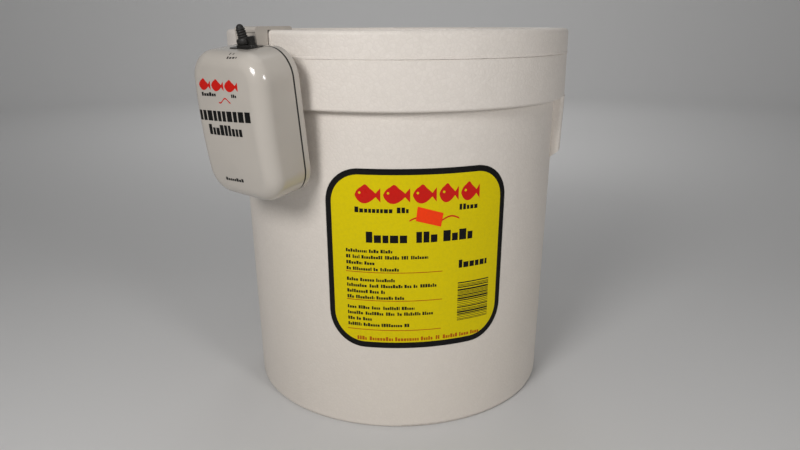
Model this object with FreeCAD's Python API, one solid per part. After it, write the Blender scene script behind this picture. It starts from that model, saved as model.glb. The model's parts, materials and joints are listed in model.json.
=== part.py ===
"""Aerated bait bucket: a foam bucket and lid, a hung battery air pump and its air stone.

Millimetres. The origin is the centre of the bucket's base, +Z is up and -Y is the front.
The pump is drawn upright in its own frame and then hung on the lid. In that frame +X is
right, -Y is outward from its flat back, and +Z is up. "Depth" is the distance outward.
"""
import FreeCAD, Part

import math
import os

Vec = FreeCAD.Vector
X_AXIS = Vec(1, 0, 0)
Y_AXIS = Vec(0, 1, 0)
Z_AXIS = Vec(0, 0, 1)
ORIGIN = Vec(0, 0, 0)
OUTWARD = Vec(0, -1, 0)

# ---- bucket and lid, moulded in foam beads -------------------------------------------
HEIGHT = 303.8
BASE_R = 129.0
NECK_R = 133.5
COLLAR_Z = 250.0
COLLAR_R = 141.1
RIM_Z = 285.0
WALL = 22.0
FLOOR = 22.0
BASE_ROUND = 3.0
COLLAR_ROUND = 2.0
RIM_ROUND = 0.5

LID_R = 141.1
LID_BEAD_R = 141.5
LID_BEAD_HIGH = 1.2
LID_ROUND = 3.0
LID_BORDER_R = 125.0
LID_RECESS = 4.0
LID_EDGE_ROUND = 1.5
PLUG_GAP = 1.2
PLUG_DEPTH = 14.0
PLUG_WIDTH = 14.0
AIRLINE_HOLE_R = 4.0
AIRLINE_HOLE_OUT = 84.0

# ---- ears at +X and -X, where the bail pivots -----------------------------------------
EAR_HALF_ANGLE = 18.0
EAR_LOW_Z = 206.2
EAR_CHAMFER = 6.0
EAR_ROUND = 3.0
EAR_R_TOP = 141.5
EAR_R_LOW = 140.0
PIVOT_Z = 228.0
BUSHING_FACE_X = 140.5
BUSHING_FLANGE_R = 8.0
BUSHING_FLANGE = 1.5
BUSHING_R = 5.0
BUSHING_DEEP = 18.5
BUSHING_BOTTOM = 2.0

# ---- bail ----------------------------------------------------------------------------
WIRE_R = 1.5
RUNNING_GAP = 0.06
LEG_X = 143.9
LEG_BEND_R = 2.5
BAIL_REACH = 174.0
BAIL_CORNER_R = 65.0
GRIP_R = 10.0
GRIP_WAIST_R = 8.6
GRIP_LENGTH = 104.0
GRIP_RIBS = 5
GRIP_GAP = 0.4

# ---- label -----------------------------------------------------------------------------
LABEL_ARC = 138.7
LABEL_LOW_Z = 70.6
LABEL_HIGH_Z = 210.1
LABEL_TURN = 6.65
LABEL_CORNER = 26.0
LABEL_LOW_CORNER = 28.0
LABEL_THICK = 0.25

# ---- air stone ---------------------------------------------------------------------------
STONE_R = 8.0
STONE_LENGTH = 32.0
STONE_GAP = 0.3
STONE_CAP = 3.0
STONE_ROUND = 1.2
NIPPLE_R = 2.3
NIPPLE_BORE_R = 1.3
NIPPLE_LENGTH = 11.0

# ---- pump: where it hangs --------------------------------------------------------------
PUMP_TURN = 38.9
PUMP_LEAN = 7.5
PUMP_ROLL = 1.3
PUMP_OUT = 145.1
PUMP_Z = 244.2

# ---- pump: case --------------------------------------------------------------------------
CASE_W = 73.2
CASE_H = 102.0
CASE_D = 38.5
CASE_CORNER = 19.5
CASE_CROWN_R = 400.0
CASE_FRONT_ROUND = 11.0
CASE_BACK_ROUND = 2.0
CASE_WALL = 1.5
GASKET_D = 5.3
GASKET = 1.5
GASKET_INSET = 0.1
LIP_GAP = 0.25
LIP = 1.2
LIP_HIGH = 3.0
TOP = CASE_H / 2

# ---- pump: switch panel, switch and outlet --------------------------------------------------
PANEL_LEFT = -7.2
PANEL_RIGHT = 12.6
PANEL_FRONT = 20.5
PANEL_PLATE = 0.5
PANEL_PROUD = 2.0
PANEL_GAP = 0.3
PANEL_CORNER = 1.5
PANEL_EDGE_ROUND = 0.6
BOSS_SWITCH_R = 5.6
BOSS_OUTLET_R = 3.2
PANEL_TOP = TOP + PANEL_PROUD
SWITCH_X = 1.3
SWITCH_D = 13.5
SWITCH_PIVOT = TOP
SWITCH_LEAN = -15.0
SWITCH_BOX_TOP = TOP - 3.5
SWITCH_BOX_LOW = TOP - 14.0
SWITCH_BOX_WALL = 1.2
SWITCH_HALF_W = 4.2
SWITCH_HALF_D = 5.0
NECK_OUT_R = 3.6
NECK_TOP = PANEL_TOP + 1.5
NUT_R = 4.3
NUT_HIGH = 1.4
LUG_PITCH = 3.5
LUG_LENGTH = 4.0
LUG_HALF_W = 0.4
LEVER_R = 1.2
LEVER_BALL_R = 2.5
LEVER_TAIL = 6.5
PIVOT_PIN_R = 0.7
PIVOT_PIN_HALF = 3.3
BOOT_HIGH = 15.0
BOOT_FOOT_R = 4.9
BOOT_FOOT = 4.2
BOOT_ROOM = 2.6
BOOT_RIB_RADII = (3.9, 3.7, 3.5, 3.3)
BOOT_GROOVE = 0.6
OUTLET_X = 9.2
OUTLET_FLANGE_R = 2.7
OUTLET_FLANGE = 1.0
OUTLET_STEM = 5.5
OUTLET_STEM_R = 2.4
STUB_LOW = TOP - 11.0
TUBE_R = 2.2
TUBE_BORE_R = 1.2

# ---- pump: hanger ------------------------------------------------------------------------
HOOK_W = 22.0
HOOK_X = -12.3
HOOK_THICK = 2.5
HOOK_LOW = 16.0
HOOK_LIP_OUT = 121.6
HOOK_LIP_DROP = 3.0
HOOK_PAD_OUT = 142.0
HOOK_PAD_LOW = 286.5
HOOK_PAD_SLOPE = 5.0
HOOK_RIB_LEFT = 3.6
HOOK_RIB_RIGHT = 1.6
HOOK_RECESS = 0.8
HOOK_SCREWS = (24.0, 38.0)
HOOK_SCREW_R = 1.3
HOOK_SCREW_HEAD_R = 2.8
HOOK_SCREW_HEAD = 1.6

# ---- pump: works inside ------------------------------------------------------------------
CELL_X = -14.5
CELL_R = 16.4
CELL_LOW = -37.5
CELL_LENGTH = 59.5
CELL_NUB_R = 4.75
CELL_NUB = 1.5
CELL_D = CASE_WALL + 0.3 + CELL_R
CELL_SHELF = 1.6
CELL_SHELF_HALF_W = 10.0
CELL_SHELF_FRONT = 26.0
SPRING_ROOM = 7.8
SPRING_R = 7.0
SPRING_WIRE = 0.6
SPRING_TURNS = 4
CONTACT = 0.5
CONTACT_HALF_W = 9.0

MOTOR_X = 18.5
MOTOR_U = -12.0
MOTOR_R = 12.2
MOTOR_LENGTH = 12.3
MOTOR_BACK = 3.4
SLEEVE = 1.5
SLEEVE_LENGTH = 9.0
INNER_GAP = 0.1
FRAME_PLATE = 1.6
FRAME_WALL = 1.4
FRAME_LEFT = 3.6
FRAME_RIGHT = 33.4
FRAME_LOW = -29.5
FRAME_HIGH = 12.0
FRAME_SCREWS = ((6.5, -26.5), (30.5, -26.5), (6.5, 7.0), (30.5, 7.0))
FRAME_SCREW_R = 1.1
FRAME_SCREW_HEAD_R = 2.4
FRAME_SCREW_HEAD = 1.6
SHAFT_R = 1.0
CAM_R = 4.5
CAM_THROW = 1.0
CAM_LENGTH = 5.0
WORK_D = 20.5
ROD_RING_IN = 6.8
ROD_RING_OUT = 8.8
ROD_THICK = 3.0
ROD_STEM_HALF_W = 1.8
ROD_FOOT_R = 4.5
ROD_FOOT = 1.4

HEAD_R = 12.5
CLAMP_U = 9.5
CLAMP_HIGH = 2.0
DIAPHRAGM = 0.8
HEAD_HIGH = 7.7
CHAMBER_R = 8.5
CHAMBER = 1.5
COVER_HIGH = 2.5
PORT_X = 4.5
PORT_R = 1.1
HEAD_SCREW_OUT = 10.4
HEAD_SCREW_R = 0.9
HEAD_SCREW_HEAD_R = 1.8
HEAD_SCREW_HEAD = 1.2
FLAP_R = 2.8
FLAP = 0.5
FLAP_POCKET_R = 3.0
FLAP_POCKET = 1.0
NIPPLE_HIGH = 6.5
HOSE_WALL = 0.9
HOSE_BEND = 6.0
LEAD_R = 0.6


def revolve(points, turn=360.0, start=0.0):
    """Turn a closed outline of (radius, z) points about +Z."""
    corners = [Vec(r, 0, z) for r, z in points]
    face = Part.Face(Part.makePolygon(corners + corners[:1]))
    face.rotate(ORIGIN, Z_AXIS, start)
    return face.revolve(ORIGIN, Z_AXIS, turn)


def cylinder(radius, length, base, axis=Z_AXIS):
    return Part.makeCylinder(radius, length, base, axis)


def is_flat(face):
    return face.Surface.TypeId == "Part::GeomPlane"


def is_round(edge):
    return edge.Curve.TypeId == "Part::GeomCircle"


def hoop(shape, radius, z):
    """The edges of a turned shape that run round it at a given radius and height."""
    def fits(edge):
        box = edge.BoundBox
        return (
            is_round(edge)
            and abs(edge.Curve.Radius - radius) < 0.01
            and box.ZMax - box.ZMin < 0.01
            and abs(box.ZMin - z) < 0.01
        )

    return [edge for edge in shape.Edges if fits(edge)]


def ring(inner, outer, length, base, axis=Z_AXIS):
    return cylinder(outer, length, base, axis).cut(cylinder(inner, length, base, axis))


def block(left, right, near, far, low, high):
    """A box in the pump's frame, near and far being depths out from its back."""
    return Part.makeBox(right - left, far - near, high - low, Vec(left, -far, low))


def at(x, depth, up):
    """A point in the pump's frame."""
    return Vec(x, -depth, up)


def along(axis, amount):
    return Vec(axis.x * amount, axis.y * amount, axis.z * amount)


def body_r(z):
    """The bucket's outer radius below the collar, at height z."""
    return BASE_R + (NECK_R - BASE_R) * z / COLLAR_Z


def rounded_path(points, radii):
    """Straight runs through the points, joined by tangent arcs of the given radii."""
    edges = []
    start = points[0]
    for before, corner, after, radius in zip(points, points[1:], points[2:], radii):
        back = (before - corner).normalize()
        ahead = (after - corner).normalize()
        half = back.getAngle(ahead) / 2
        reach = radius / math.tan(half)
        enter = corner + along(back, reach)
        leave = corner + along(ahead, reach)
        inward = (back + ahead).normalize()
        middle = corner + along(inward, radius / math.sin(half) - radius)
        edges.append(Part.LineSegment(start, enter).toShape())
        edges.append(Part.Arc(enter, middle, leave).toShape())
        start = leave
    edges.append(Part.LineSegment(start, points[-1]).toShape())
    return Part.Wire(edges)


def swept(points, radii, radius, bore=0.0):
    """A round rod, or a tube where it has a bore, along a rounded path."""
    path = rounded_path(points, radii)
    heading = (points[1] - points[0]).normalize()

    def rod(r):
        profile = Part.Wire(Part.makeCircle(r, points[0], heading))
        return path.makePipeShell([profile], True, True)

    return rod(radius).cut(rod(bore)) if bore else rod(radius)


def rounded_plate(width, height, corner, near, far, low_corner=None):
    """A slab with rounded corners in the pump's frame, between two depths."""
    w = width / 2
    h = height / 2
    edges = []
    for sx, sz in ((1, 1), (-1, 1), (-1, -1), (1, -1)):
        r = low_corner if low_corner and sz < 0 else corner
        k = r * (1 - math.sqrt(0.5))
        ends = [Vec(sx * w, -near, sz * (h - r)), Vec(sx * (w - r), -near, sz * h)]
        if sx * sz < 0:
            ends.reverse()
        middle = Vec(sx * (w - k), -near, sz * (h - k))
        edges.append((ends[0], middle, ends[1]))
    shapes = []
    for here, following in zip(edges, edges[1:] + edges[:1]):
        shapes.append(Part.Arc(*here).toShape())
        shapes.append(Part.LineSegment(here[2], following[0]).toShape())
    return Part.Face(Part.Wire(shapes)).extrude(Vec(0, near - far, 0))


# ---- bucket ------------------------------------------------------------------------------
def is_ear_corner(edge):
    """Whether an edge of an ear is an upright outer corner, or the top of its chamfer."""
    if any(math.hypot(v.X, v.Y) < EAR_R_LOW - 0.1 for v in edge.Vertexes):
        return False
    return edge.BoundBox.ZMin < COLLAR_Z


def ear_block(side):
    """One ear: a sector standing proud of the wall, chamfered at its foot."""
    inner = BASE_R - WALL / 2
    outline = [
        (inner, EAR_LOW_Z - EAR_CHAMFER),
        (body_r(EAR_LOW_Z) - 0.5, EAR_LOW_Z - EAR_CHAMFER),
        (EAR_R_LOW, EAR_LOW_Z),
        (EAR_R_TOP, COLLAR_Z + 1.0),
        (inner, COLLAR_Z + 1.0),
    ]
    middle = 0.0 if side > 0 else 180.0
    ear = revolve(outline, 2 * EAR_HALF_ANGLE, middle - EAR_HALF_ANGLE)
    return ear.makeFillet(EAR_ROUND, [e for e in ear.Edges if is_ear_corner(e)])


def bushing_room(side):
    """The stepped hole in an ear that its bushing fills."""
    face = Vec(side * (BUSHING_FACE_X - BUSHING_FLANGE), 0, PIVOT_Z)
    outward = Vec(side, 0, 0)
    flange = cylinder(BUSHING_FLANGE_R, EAR_R_TOP, face, outward)
    barrel = cylinder(BUSHING_R, BUSHING_DEEP, face - along(outward, BUSHING_DEEP), outward)
    return flange.fuse(barrel)


def bucket_body():
    outside = revolve([
        (0, 0),
        (BASE_R, 0),
        (NECK_R, COLLAR_Z),
        (COLLAR_R, COLLAR_Z),
        (COLLAR_R, RIM_Z),
        (0, RIM_Z),
    ])
    outside = outside.makeFillet(BASE_ROUND, hoop(outside, BASE_R, 0))
    outside = outside.makeFillet(COLLAR_ROUND, hoop(outside, COLLAR_R, COLLAR_Z))
    outside = outside.makeFillet(RIM_ROUND, hoop(outside, COLLAR_R, RIM_Z))
    for side in (1, -1):
        outside = outside.fuse(ear_block(side))
    low_r = body_r(FLOOR) - WALL
    high_r = body_r(RIM_Z) - WALL
    cavity = Part.makeCone(low_r, high_r, RIM_Z - FLOOR, Vec(0, 0, FLOOR))
    body = outside.cut(cavity)
    for side in (1, -1):
        body = body.cut(bushing_room(side))
    return body.removeSplitter()


def airline_hole_centre():
    turn = math.radians(PUMP_TURN)
    return Vec(-AIRLINE_HOLE_OUT * math.sin(turn), -AIRLINE_HOLE_OUT * math.cos(turn), 0)


def lid():
    plug_r = body_r(RIM_Z - PLUG_DEPTH) - WALL - PLUG_GAP
    disc = revolve([
        (0, RIM_Z),
        (plug_r - PLUG_WIDTH, RIM_Z),
        (plug_r - PLUG_WIDTH, RIM_Z - PLUG_DEPTH),
        (plug_r, RIM_Z - PLUG_DEPTH),
        (plug_r, RIM_Z),
        (LID_BEAD_R, RIM_Z),
        (LID_BEAD_R, RIM_Z + LID_BEAD_HIGH),
        (LID_R, RIM_Z + LID_BEAD_HIGH + LID_BEAD_R - LID_R),
        (LID_R, HEIGHT),
        (LID_BORDER_R, HEIGHT),
        (LID_BORDER_R, HEIGHT - LID_RECESS),
        (0, HEIGHT - LID_RECESS),
    ])
    disc = disc.makeFillet(LID_ROUND, hoop(disc, LID_R, HEIGHT))
    disc = disc.makeFillet(LID_EDGE_ROUND, hoop(disc, LID_BORDER_R, HEIGHT))
    disc = disc.makeFillet(LID_EDGE_ROUND, hoop(disc, plug_r, RIM_Z - PLUG_DEPTH))
    return disc.cut(cylinder(AIRLINE_HOLE_R, HEIGHT, airline_hole_centre()))


def label():
    """A thin printed sheet, lying on the cone of the wall."""
    def cone(skin, margin):
        low = LABEL_LOW_Z - margin
        high = LABEL_HIGH_Z + margin
        return Part.makeCone(body_r(low) + skin, body_r(high) + skin, high - low, Vec(0, 0, low))

    sheet = cone(LABEL_THICK, 1).cut(cone(0, 2))
    middle = (LABEL_LOW_Z + LABEL_HIGH_Z) / 2
    chord = 2 * body_r(middle) * math.sin(LABEL_ARC / body_r(middle) / 2)
    tall = LABEL_HIGH_Z - LABEL_LOW_Z
    cutter = rounded_plate(chord, tall, LABEL_CORNER, 60, 160, LABEL_LOW_CORNER)
    cutter.translate(Vec(0, 0, middle))
    cutter.rotate(ORIGIN, Z_AXIS, LABEL_TURN)
    return sheet.common(cutter)


# ---- bail ----------------------------------------------------------------------------------
def bar_depth():
    """How far behind the axis the bail's bar lies while its grip rests on the wall."""
    low = PIVOT_Z - BAIL_REACH / 2
    return body_r(low) + GRIP_R + GRIP_GAP


def bail_direction():
    """Unit vector from the pivot towards the bar, with the bail folded down at the back."""
    back = bar_depth() / BAIL_REACH
    return Vec(0, back, -math.sqrt(1 - back * back))


def bail_wire():
    reach = along(bail_direction(), BAIL_REACH)
    pivot = Vec(0, 0, PIVOT_Z)
    inner = BUSHING_FACE_X - BUSHING_FLANGE - BUSHING_DEEP + BUSHING_BOTTOM + 2.0
    points = [
        pivot + Vec(inner, 0, 0),
        pivot + Vec(LEG_X, 0, 0),
        pivot + Vec(LEG_X, 0, 0) + reach,
        pivot - Vec(LEG_X, 0, 0) + reach,
        pivot - Vec(LEG_X, 0, 0),
        pivot - Vec(inner, 0, 0),
    ]
    return swept(points, [LEG_BEND_R, BAIL_CORNER_R, BAIL_CORNER_R, LEG_BEND_R], WIRE_R)


def bushing(side):
    outward = Vec(side, 0, 0)
    face = Vec(side * (BUSHING_FACE_X - BUSHING_FLANGE), 0, PIVOT_Z)
    bottom = face - along(outward, BUSHING_DEEP)
    shape = cylinder(BUSHING_FLANGE_R, BUSHING_FLANGE, face, outward)
    shape = shape.fuse(cylinder(BUSHING_R, BUSHING_DEEP, bottom, outward))
    bore = bottom + along(outward, BUSHING_BOTTOM)
    hole = cylinder(WIRE_R + RUNNING_GAP, BUSHING_DEEP + BUSHING_FLANGE, bore, outward)
    return shape.cut(hole).removeSplitter()


def bail_grip():
    """A waisted tube with shallow finger grooves, free to turn on the bar."""
    half = GRIP_LENGTH / 2
    outline = [(WIRE_R + RUNNING_GAP, -half), (GRIP_R - 1, -half), (GRIP_R, -half + 2)]
    pitch = (GRIP_LENGTH - 8) / GRIP_RIBS
    for rib in range(GRIP_RIBS):
        low = -half + 4 + rib * pitch
        outline += [(GRIP_R, low), (GRIP_WAIST_R, low + pitch * 0.3)]
        outline += [(GRIP_WAIST_R, low + pitch * 0.7), (GRIP_R, low + pitch)]
    outline += [(GRIP_R, half - 2), (GRIP_R - 1, half), (WIRE_R + RUNNING_GAP, half)]
    grip = revolve(outline)
    grip.rotate(ORIGIN, Y_AXIS, 90)
    grip.translate(Vec(0, 0, PIVOT_Z) + along(bail_direction(), BAIL_REACH))
    return grip


# ---- air stone -----------------------------------------------------------------------------
def stone_centre():
    return Vec(0, 0, FLOOR + STONE_GAP + STONE_R)


def air_stone_body():
    start = stone_centre() - Vec(STONE_LENGTH / 2, 0, 0)
    stone = cylinder(STONE_R, STONE_LENGTH, start, X_AXIS)
    stone = stone.makeFillet(STONE_ROUND, [e for e in stone.Edges if is_round(e)])
    return stone.cut(cylinder(NIPPLE_R, STONE_LENGTH / 2, stone_centre(), X_AXIS))


def air_stone_nipple():
    base = stone_centre()
    stem = cylinder(NIPPLE_R, STONE_LENGTH / 2 + STONE_CAP + NIPPLE_LENGTH, base, X_AXIS)
    cap = cylinder(STONE_R - 2, STONE_CAP, base + Vec(STONE_LENGTH / 2, 0, 0), X_AXIS)
    bore = cylinder(NIPPLE_BORE_R, STONE_LENGTH, base + Vec(2, 0, 0), X_AXIS)
    return stem.fuse(cap).cut(bore).removeSplitter()


# ---- pump case -----------------------------------------------------------------------------
def crowned_block(inset, near):
    """The case's outer form from a given depth forward, shrunk all round by inset."""
    front = CASE_D - inset
    slab = rounded_plate(CASE_W - 2 * inset, CASE_H - 2 * inset, CASE_CORNER - inset, near, CASE_D)
    ball_r = CASE_CROWN_R - inset
    slab = slab.common(Part.makeSphere(ball_r, at(0, front - ball_r, 0)))
    crown = [f for f in slab.Faces if f.Surface.TypeId == "Part::GeomSphere"][0]
    return slab.makeFillet(CASE_FRONT_ROUND - inset, crown.Edges)


def panel_room(gap):
    """The space that the switch panel takes from the front shell's top wall."""
    near = GASKET_D + GASKET
    return block(PANEL_LEFT - gap, PANEL_RIGHT + gap, near - 1, PANEL_FRONT + gap, TOP - 6, TOP + 6)


def front_shell():
    near = GASKET_D + GASKET
    shell = crowned_block(0, near).cut(crowned_block(CASE_WALL, near - 1))
    return shell.cut(panel_room(PANEL_GAP))


def inner_plate(inset, near, far):
    """A slab like the case's outline, shrunk all round by inset."""
    return rounded_plate(CASE_W - 2 * inset, CASE_H - 2 * inset, CASE_CORNER - inset, near, far)


def cell_shelf(low):
    left = CELL_X - CELL_SHELF_HALF_W
    right = CELL_X + CELL_SHELF_HALF_W
    return block(left, right, CASE_WALL / 2, CELL_SHELF_FRONT, low, low + CELL_SHELF)


def back_shell():
    """A shallow tray with a sealing lip, the cell's two end shelves and screw holes."""
    tray = inner_plate(0, 0, GASKET_D)
    back = [f for f in tray.Faces if is_flat(f) and abs(f.CenterOfMass.y) < 0.01][0]
    tray = tray.makeFillet(CASE_BACK_ROUND, back.Edges)
    lip_inset = CASE_WALL + LIP_GAP
    lip = inner_plate(lip_inset, CASE_WALL, GASKET_D + LIP_HIGH)
    room = inner_plate(lip_inset + LIP, CASE_WALL, CASE_D)
    shell = tray.fuse(lip).cut(room)
    for low in (spring_plate_low() - CELL_SHELF, contact_plate_low() + CONTACT):
        shell = shell.fuse(cell_shelf(low))
    for x, up in FRAME_SCREWS:
        shell = shell.cut(cylinder(FRAME_SCREW_R, CASE_WALL, at(x, CASE_WALL, up), Y_AXIS))
    for up in HOOK_SCREWS:
        shell = shell.cut(cylinder(HOOK_SCREW_R, hook_screw_bite(), at(HOOK_X, 0, up), OUTWARD))
    return shell.removeSplitter()


def case_gasket():
    far = GASKET_D + GASKET
    outer = inner_plate(GASKET_INSET, GASKET_D, far)
    return outer.cut(inner_plate(CASE_WALL + LIP_GAP - 0.05, GASKET_D, far))


# ---- hanger ----------------------------------------------------------------------------------
def hook_screw_bite():
    """How deep a hook screw goes into the back shell, short of coming through."""
    return CASE_WALL - 0.3


def hanger_hook():
    """A strap up the pump's back, with a pad against the lid's edge, that bends in over its border."""
    lean = math.radians(PUMP_LEAN)
    top_z = HEIGHT + HOOK_THICK

    def on_back(up, depth):
        out = PUMP_OUT + up * math.sin(lean) + depth * math.cos(lean)
        return out, PUMP_Z + up * math.cos(lean) - depth * math.sin(lean)

    def up_at(z, depth):
        return (z - PUMP_Z + depth * math.sin(lean)) / math.cos(lean)

    lip_in = HOOK_LIP_OUT - HOOK_THICK
    outline = [
        on_back(HOOK_LOW, -HOOK_THICK),
        on_back(HOOK_LOW, 0),
        on_back(up_at(top_z, 0), 0),
        (lip_in, top_z),
        (lip_in, HEIGHT - HOOK_LIP_DROP),
        (HOOK_LIP_OUT, HEIGHT - HOOK_LIP_DROP),
        (HOOK_LIP_OUT, HEIGHT),
        (HOOK_PAD_OUT, HEIGHT),
        (HOOK_PAD_OUT, HOOK_PAD_LOW + HOOK_PAD_SLOPE),
        on_back(up_at(HOOK_PAD_LOW, -HOOK_THICK), -HOOK_THICK),
    ]
    corners = [Vec(HOOK_X - HOOK_W / 2, -out, z) for out, z in outline]
    strap = Part.Face(Part.makePolygon(corners + corners[:1])).extrude(Vec(HOOK_W, 0, 0))
    outer_bend = [
        e for e in strap.Edges
        if e.BoundBox.XLength > HOOK_W - 0.1 and abs(e.BoundBox.ZMax - top_z) < 0.1
    ]
    strap = strap.makeFillet(HOOK_THICK * 0.9, outer_bend)
    strap.rotate(ORIGIN, Z_AXIS, -PUMP_TURN)
    left = HOOK_X - HOOK_W / 2 + HOOK_RIB_LEFT
    right = HOOK_X + HOOK_W / 2 - HOOK_RIB_RIGHT
    recess = block(left, right, -HOOK_RECESS, 1, TOP - 3, up_at(HEIGHT, 0) - 1.5)
    strap = strap.cut(hung(recess))
    for up in HOOK_SCREWS:
        hole = cylinder(HOOK_SCREW_R, HOOK_THICK, at(HOOK_X, -HOOK_THICK, up), OUTWARD)
        strap = strap.cut(hung(hole))
    return strap


def hook_screws():
    screws = []
    for up in HOOK_SCREWS:
        head_at = at(HOOK_X, -HOOK_THICK - HOOK_SCREW_HEAD, up)
        head = cylinder(HOOK_SCREW_HEAD_R, HOOK_SCREW_HEAD, head_at, OUTWARD)
        shank_at = at(HOOK_X, -HOOK_THICK, up)
        shank = cylinder(HOOK_SCREW_R, HOOK_THICK + hook_screw_bite(), shank_at, OUTWARD)
        screws.append(head.fuse(shank).removeSplitter())
    return Part.makeCompound(screws)


# ---- switch panel, switch and outlet -----------------------------------------------------------
def switch_column(radius, low, high):
    """A round bar on the switch's upright axis."""
    return cylinder(radius, high - low, at(SWITCH_X, SWITCH_D, low))


def outlet_column(radius, low, high):
    return cylinder(radius, high - low, at(OUTLET_X, SWITCH_D, low))


def panel_boss():
    """A raised boss drawn tight round the foot of the boot and the outlet."""
    slant = math.asin((BOSS_SWITCH_R - BOSS_OUTLET_R) / (OUTLET_X - SWITCH_X))
    corners = []
    for x, radius, side in (
        (SWITCH_X, BOSS_SWITCH_R, 1),
        (OUTLET_X, BOSS_OUTLET_R, 1),
        (OUTLET_X, BOSS_OUTLET_R, -1),
        (SWITCH_X, BOSS_SWITCH_R, -1),
    ):
        depth = SWITCH_D + side * radius * math.cos(slant)
        corners.append(at(x + radius * math.sin(slant), depth, TOP))
    web = Part.Face(Part.makePolygon(corners + corners[:1])).extrude(Vec(0, 0, PANEL_PROUD))
    boss = web.fuse(switch_column(BOSS_SWITCH_R, TOP, PANEL_TOP))
    boss = boss.fuse(outlet_column(BOSS_OUTLET_R, TOP, PANEL_TOP)).removeSplitter()
    top_edges = [e for e in boss.Edges if e.BoundBox.ZMin > PANEL_TOP - 0.01]
    return boss.makeFillet(PANEL_EDGE_ROUND, top_edges)


def switch_panel():
    near = GASKET_D + GASKET
    plate_top = TOP + PANEL_PLATE
    plate = block(PANEL_LEFT, PANEL_RIGHT, near, PANEL_FRONT, TOP - CASE_WALL, plate_top)
    plate = plate.makeFillet(PANEL_CORNER, [e for e in plate.Edges if e.BoundBox.ZLength > 1])
    plate = plate.fuse(panel_boss())
    plate = plate.cut(switch_column(NECK_OUT_R, SWITCH_BOX_TOP, NECK_TOP))
    return plate.cut(outlet_column(TUBE_R, SWITCH_BOX_TOP, NECK_TOP))


def pivot_pin(gap):
    start = at(SWITCH_X, SWITCH_D + PIVOT_PIN_HALF + gap, SWITCH_PIVOT)
    return cylinder(PIVOT_PIN_R + gap, 2 * (PIVOT_PIN_HALF + gap), start, Y_AXIS)


def switch_body():
    """The switch's box and neck, bored for the lever, with three lugs underneath."""
    left = SWITCH_X - SWITCH_HALF_W
    right = SWITCH_X + SWITCH_HALF_W
    near = SWITCH_D - SWITCH_HALF_D
    far = SWITCH_D + SWITCH_HALF_D
    wall = SWITCH_BOX_WALL
    box = block(left, right, near, far, SWITCH_BOX_LOW, SWITCH_BOX_TOP)
    room_low = SWITCH_BOX_LOW + wall
    room_high = SWITCH_BOX_TOP - wall
    room = block(left + wall, right - wall, near + wall, far - wall, room_low, room_high)
    neck = switch_column(NECK_OUT_R, SWITCH_BOX_TOP - 0.5, NECK_TOP)
    bore = switch_column(LEVER_BALL_R + 0.05, room_low + 1, NECK_TOP)
    body = box.cut(room).fuse(neck).cut(bore).cut(pivot_pin(0.05))
    for number in (-1, 0, 1):
        x = SWITCH_X + number * LUG_PITCH
        low = SWITCH_BOX_LOW - LUG_LENGTH
        high = SWITCH_BOX_LOW + 0.5
        lug = block(x - LUG_HALF_W, x + LUG_HALF_W, SWITCH_D - 1, SWITCH_D + 1, low, high)
        body = body.fuse(lug)
    return body.removeSplitter()


def leaned(shape):
    """Tip a piece of the switch to the side that its lever rests on."""
    shape.rotate(at(SWITCH_X, SWITCH_D, SWITCH_PIVOT), Y_AXIS, SWITCH_LEAN)
    return shape


def toggle_lever():
    """A lever with a ball at its pivot, turning on a cross pin in the switch's neck."""
    ball = Part.makeSphere(LEVER_BALL_R, at(SWITCH_X, SWITCH_D, SWITCH_PIVOT))
    stem = switch_column(LEVER_R, SWITCH_PIVOT - LEVER_TAIL, SWITCH_PIVOT + BOOT_HIGH - 2.0)
    return leaned(ball.fuse(stem).fuse(pivot_pin(0)).removeSplitter())


def switch_nut():
    corners = []
    for step in range(6):
        turn = math.radians(60 * step)
        x = SWITCH_X + NUT_R * math.cos(turn)
        corners.append(at(x, SWITCH_D + NUT_R * math.sin(turn), PANEL_TOP))
    plate = Part.Face(Part.makePolygon(corners + corners[:1])).extrude(Vec(0, 0, NUT_HIGH))
    return plate.cut(switch_column(NECK_OUT_R, TOP, NECK_TOP))


def toggle_boot():
    """A ribbed rubber cone over the lever, hollow over the switch's neck and nut."""
    tip = SWITCH_PIVOT + BOOT_HIGH
    foot_top = PANEL_TOP + BOOT_FOOT - 0.4
    step = (tip - 3.4 - foot_top) / len(BOOT_RIB_RADII)
    outline = [(0, foot_top), (BOOT_RIB_RADII[0] + 0.2, foot_top)]
    for number, radius in enumerate(BOOT_RIB_RADII):
        low = foot_top + number * step
        outline += [(radius, low + 0.15 * step), (radius, low + 0.6 * step)]
        outline += [(radius - BOOT_GROOVE, low + 0.85 * step)]
    outline += [(2.9, tip - 1.2), (2.2, tip), (0, tip)]
    cone = revolve(outline)
    cone.translate(at(SWITCH_X, SWITCH_D, 0))
    boot = leaned(cone).fuse(switch_column(BOOT_FOOT_R, PANEL_TOP, PANEL_TOP + BOOT_FOOT))
    boot = boot.cut(switch_column(NUT_R + 0.1, PANEL_TOP, PANEL_TOP + BOOT_ROOM))
    bore = leaned(switch_column(LEVER_R, SWITCH_PIVOT, SWITCH_PIVOT + BOOT_HIGH - 2.0))
    return boot.cut(bore).removeSplitter()


def outlet_nipple():
    """The air outlet: a stub for the inner hose, a flange and a straight stem."""
    stem = outlet_column(OUTLET_STEM_R, PANEL_TOP, PANEL_TOP + OUTLET_STEM)
    shape = stem.fuse(outlet_column(TUBE_R, STUB_LOW, PANEL_TOP + 1))
    shape = shape.fuse(outlet_column(OUTLET_FLANGE_R, PANEL_TOP, PANEL_TOP + OUTLET_FLANGE))
    bore = outlet_column(TUBE_BORE_R, STUB_LOW - 1, PANEL_TOP + OUTLET_STEM + 1)
    return shape.cut(bore).removeSplitter()


# ---- cell and contacts -----------------------------------------------------------------------


def spring_plate_low():
    return CELL_LOW - SPRING_ROOM


def contact_plate_low():
    return CELL_LOW + CELL_LENGTH + CELL_NUB


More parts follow.
